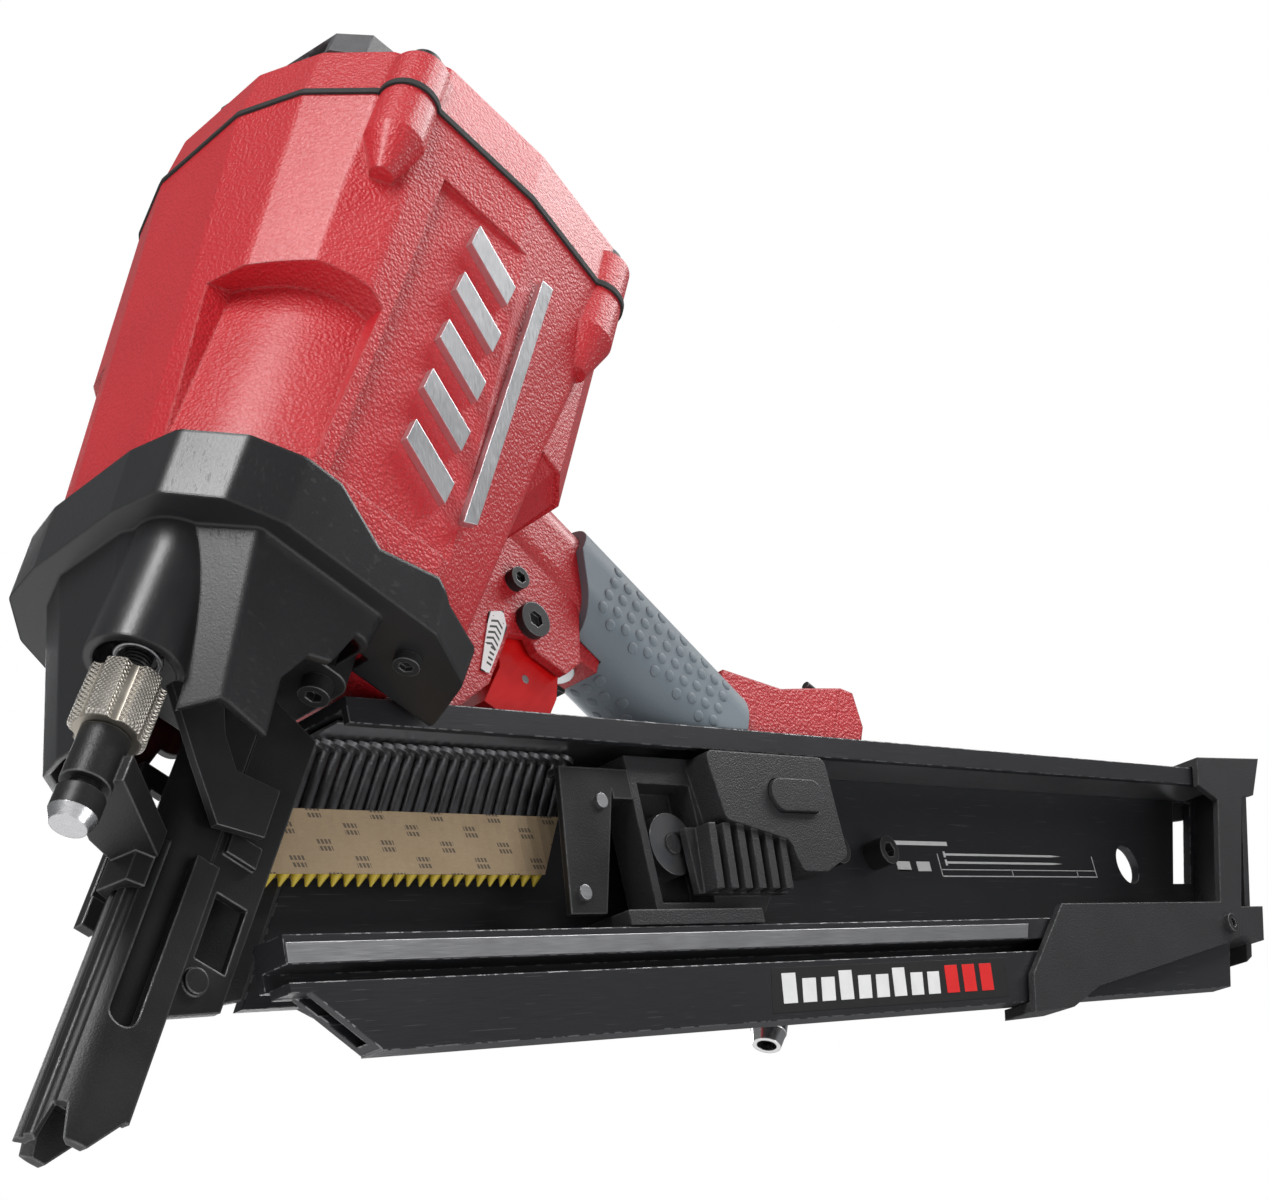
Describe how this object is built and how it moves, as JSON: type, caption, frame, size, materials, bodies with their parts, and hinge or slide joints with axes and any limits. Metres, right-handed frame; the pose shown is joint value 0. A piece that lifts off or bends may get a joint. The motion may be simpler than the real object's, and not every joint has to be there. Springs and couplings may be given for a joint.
{
  "type": "pneumatic framing nailer",
  "caption": "Air-powered framing nail gun with a slanted strip magazine, padded handle, trigger, toothed contact foot and turnable exhaust hood.",
  "frame": {"origin": "centre of the drive bore at the nose tip, where a nail leaves the tool", "axes": "+Z along the drive axis from the nose tip to the head cap, +X towards the handle end, +Y to the side away from the open face of the magazine"},
  "size_m": [0.5197, 0.1384, 0.3926],
  "materials": {
    "black_anodised": "black anodised extrusion",
    "black_plastic": "satin moulded",
    "black_steel": "black phosphated steel",
    "bright_steel": "ground and brushed",
    "grip_rubber": "soft matt with raised dots",
    "label": "printed film",
    "paper": "kraft paper tape",
    "plated_steel": "plated",
    "red_casting": "pebbled powder coat",
    "seal_rubber": "moulded",
    "spring_steel": "drawn wire",
    "trigger_plastic": "smooth moulded",
    "turned_aluminium": "turned or brushed"
  },
  "bodies": {
    "tool_body": {"air_plug": "plated_steel", "bumper": "seal_rubber", "cap_bolts": "black_steel", "cap_gasket": "seal_rubber", "contact_spring": "spring_steel", "cylinder_cap": "red_casting", "cylinder_sleeve": "turned_aluminium", "deflector_screw": "black_steel", "emblem": "turned_aluminium", "end_bumper": "black_plastic", "end_bumper_screw": "black_steel", "end_cap_screws": "black_steel", "front_plate": "black_steel", "handle_end_cap": "red_casting", "handle_grip": "grip_rubber", "head_guide": "bright_steel", "head_valve_spring": "spring_steel", "inlet_screen": "bright_steel", "lower_shroud": "black_plastic", "magazine_bolts": "black_steel", "magazine_bracket": "black_plastic", "magazine_channel": "black_anodised", "main_housing": "red_casting", "nails": "bright_steel", "nose_body": "black_steel", "nose_bolts": "black_steel", "nose_latch": "black_steel", "paper_tape": "paper", "shroud_screws": "black_steel", "side_screw": "black_steel", "sleeve_seal": "seal_rubber", "stud_guide": "black_steel", "trigger_label": "label", "trigger_pin": "bright_steel", "trigger_valve": "turned_aluminium", "valve_spring": "spring_steel", "wear_rail": "bright_steel"},
    "deflector": {"exhaust_deflector": "black_plastic"},
    "head_valve_body": {"head_valve": "black_plastic"},
    "piston_body": {"piston": "turned_aluminium", "piston_ring": "seal_rubber", "driver_blade": "bright_steel"},
    "contact": {"contact_foot": "black_steel", "contact_arm": "black_steel", "contact_link": "black_steel", "depth_stud": "black_steel"},
    "wheel": {"depth_wheel": "bright_steel"},
    "trigger_body": {"trigger": "trigger_plastic", "rocker_pin": "bright_steel"},
    "rocker": {"trigger_rocker": "black_steel"},
    "stem": {"valve_stem": "bright_steel"},
    "selector": {"selector_knob": "black_steel"},
    "feeder": {"feeder_carriage": "black_plastic", "pusher_plate": "black_steel", "pusher_rivets": "bright_steel", "feeder_spring": "spring_steel", "spring_roller": "black_plastic", "button_spring": "spring_steel"},
    "button": {"feeder_button": "black_plastic"}
  },
  "joints": [
    {"name": "deflector_turn", "type": "hinge", "parent": "tool_body", "child": "deflector", "pos_m": [0, 0, 0.31], "axis": [0, 0, 1], "continuous": true},
    {"name": "head_valve_lift", "type": "slide", "parent": "tool_body", "child": "head_valve_body", "axis": [0, 0, 1], "range_m": [0, 0.006], "stiffness_N_per_m": 1500, "deforming": ["head_valve_spring"]},
    {"name": "drive_stroke", "type": "slide", "parent": "tool_body", "child": "piston_body", "axis": [0, 0, -1], "range_m": [0, 0.1]},
    {"name": "contact_slide", "type": "slide", "parent": "tool_body", "child": "contact", "axis": [0, 0, 1], "range_m": [0, 0.012], "stiffness_N_per_m": 900, "deforming": ["contact_spring"]},
    {"name": "depth_turn", "type": "hinge", "parent": "contact", "child": "wheel", "pos_m": [-0.0344, -0.021, 0.078], "axis": [0, 0, 1], "continuous": true},
    {"name": "trigger_pull", "type": "hinge", "parent": "tool_body", "child": "trigger_body", "pos_m": [0.075, 0, 0.1885], "axis": [0, -1, 0], "range_deg": [0, 12], "stiffness_Nm_per_rad": 0.8},
    {"name": "rocker_swing", "type": "hinge", "parent": "trigger_body", "child": "rocker", "pos_m": [0.0817, 0, 0.174], "axis": [0, -1, 0], "range_deg": [-4, 0], "stiffness_Nm_per_rad": 0.05},
    {"name": "stem_lift", "type": "slide", "parent": "tool_body", "child": "stem", "axis": [0, 0, 1], "range_m": [0, 0.0045], "deforming": ["valve_spring"]},
    {"name": "selector_turn", "type": "hinge", "parent": "tool_body", "child": "selector", "pos_m": [0.075, -0.014, 0.1885], "axis": [0, -1, 0], "range_deg": [0, 180]},
    {"name": "feeder_slide", "type": "slide", "parent": "tool_body", "child": "feeder", "axis": [0.8616, 0, 0.5075], "range_m": [0, 0.235]},
    {"name": "button_press", "type": "slide", "parent": "feeder", "child": "button", "axis": [0, 1, 0], "range_m": [0, 0.0015], "stiffness_N_per_m": 800}
  ],
  "couplings": [
    {"joint": "stem_lift", "follows": "trigger_pull", "m_per_rad": 0.02}
  ]
}
